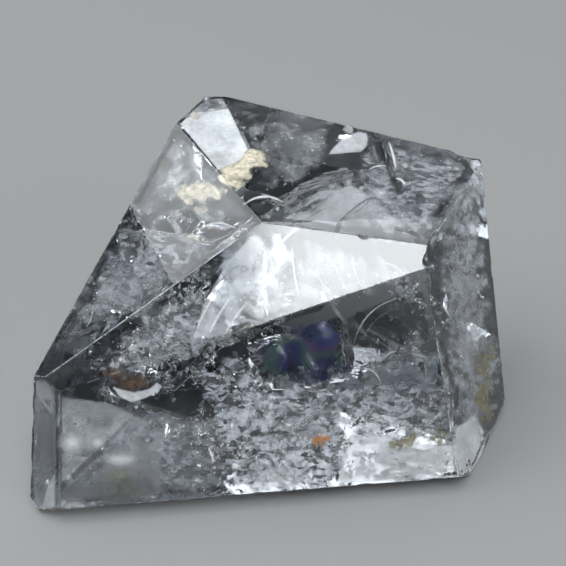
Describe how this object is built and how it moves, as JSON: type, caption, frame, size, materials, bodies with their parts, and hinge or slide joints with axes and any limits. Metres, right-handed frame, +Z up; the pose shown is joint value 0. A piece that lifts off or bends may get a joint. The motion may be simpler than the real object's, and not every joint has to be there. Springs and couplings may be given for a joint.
{
  "type": "raw quartz crystal",
  "caption": "Clear raw quartz crystal: a chunky stone with flat faces, worn and chipped edges and inner fractures, lying on its flat base.",
  "frame": {"origin": "middle of the stone's outline, on the surface that its base rests on", "axes": "+Z up from the base, +X along the longest side to the tall end, -Y towards the large front face"},
  "size_m": [0.0503, 0.0412, 0.0271],
  "materials": {
    "clear_quartz": "polished natural faces, clear with white, grey and rusty inclusions"
  },
  "bodies": {
    "root": {"quartz_crystal": "clear_quartz"}
  },
  "joints": []
}
